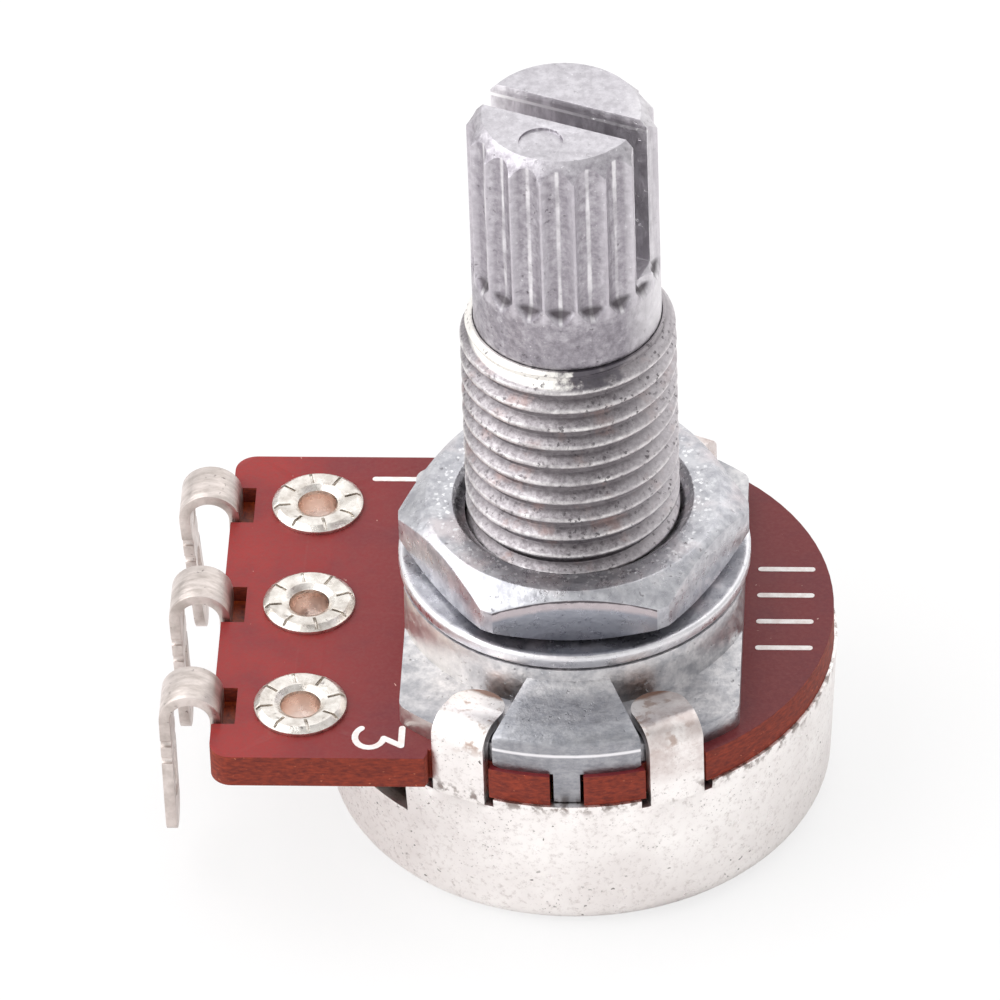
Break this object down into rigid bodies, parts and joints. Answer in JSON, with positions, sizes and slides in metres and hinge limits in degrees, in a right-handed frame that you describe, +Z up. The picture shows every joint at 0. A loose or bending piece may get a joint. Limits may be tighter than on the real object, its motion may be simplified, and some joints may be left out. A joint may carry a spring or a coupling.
{
  "type": "rotary potentiometer",
  "caption": "Panel rotary potentiometer: knurled split shaft in a threaded bushing with nut and washer, red-brown terminal board with arched solder lugs, and a round drawn-steel rear cover.",
  "frame": {"origin": "on the shaft's axis, at the flat back of the rear cover", "axes": "+Z up the shaft towards the knob, -X towards the terminals"},
  "size_m": [0.0216, 0.0168, 0.027],
  "materials": {
    "tinned_steel": "satin tin plate with fine grey speckles",
    "phenolic_board": "semi-gloss lacquered paper laminate with fibrous cut edges",
    "carbon_ink": "matt printed carbon",
    "silver_ink": "matt printed silver",
    "tinned_strip": "hot-tinned, slightly uneven",
    "eyelet_metal": "bright tinned, crimped",
    "cast_zinc": "satin zinc casting with pits",
    "shaft_metal": "satin zinc with bright knurl crests",
    "spring_steel": "plain spring steel",
    "rotor_plastic": "natural moulded plastic",
    "spring_bronze": "rolled bronze sheet",
    "plated_steel": "bright nickel plate with handling marks"
  },
  "bodies": {
    "housing": {"rear_cover": "tinned_steel", "terminal_board": "phenolic_board", "carbon_track": "carbon_ink", "collector_ring": "silver_ink", "end_pad_1": "silver_ink", "end_pad_3": "silver_ink", "terminal_1": "tinned_strip", "terminal_2": "tinned_strip", "terminal_3": "tinned_strip", "eyelet_1": "eyelet_metal", "eyelet_2": "eyelet_metal", "eyelet_3": "eyelet_metal", "bushing_casting": "cast_zinc"},
    "spindle": {"shaft": "shaft_metal", "retaining_clip": "spring_steel", "rotor": "rotor_plastic", "wiper_spring": "spring_bronze"},
    "washer": {"flat_washer": "plated_steel"},
    "nut": {"mounting_nut": "plated_steel"}
  },
  "joints": [
    {"name": "shaft_turn", "type": "hinge", "parent": "housing", "child": "spindle", "pos_m": [0, 0, 0], "axis": [0, 0, 1], "range_deg": [-129, 171]},
    {"name": "washer_lift", "type": "slide", "parent": "housing", "child": "washer", "axis": [0, 0, 1], "range_m": [0, 0.0075]},
    {"name": "nut_turn", "type": "hinge", "parent": "washer", "child": "nut", "pos_m": [0, 0, 0], "axis": [0, 0, 1], "range_deg": [0, 3600]}
  ],
  "couplings": [
    {"joint": "washer_lift", "follows": "nut_turn", "m_per_rad": 0.00011936}
  ]
}
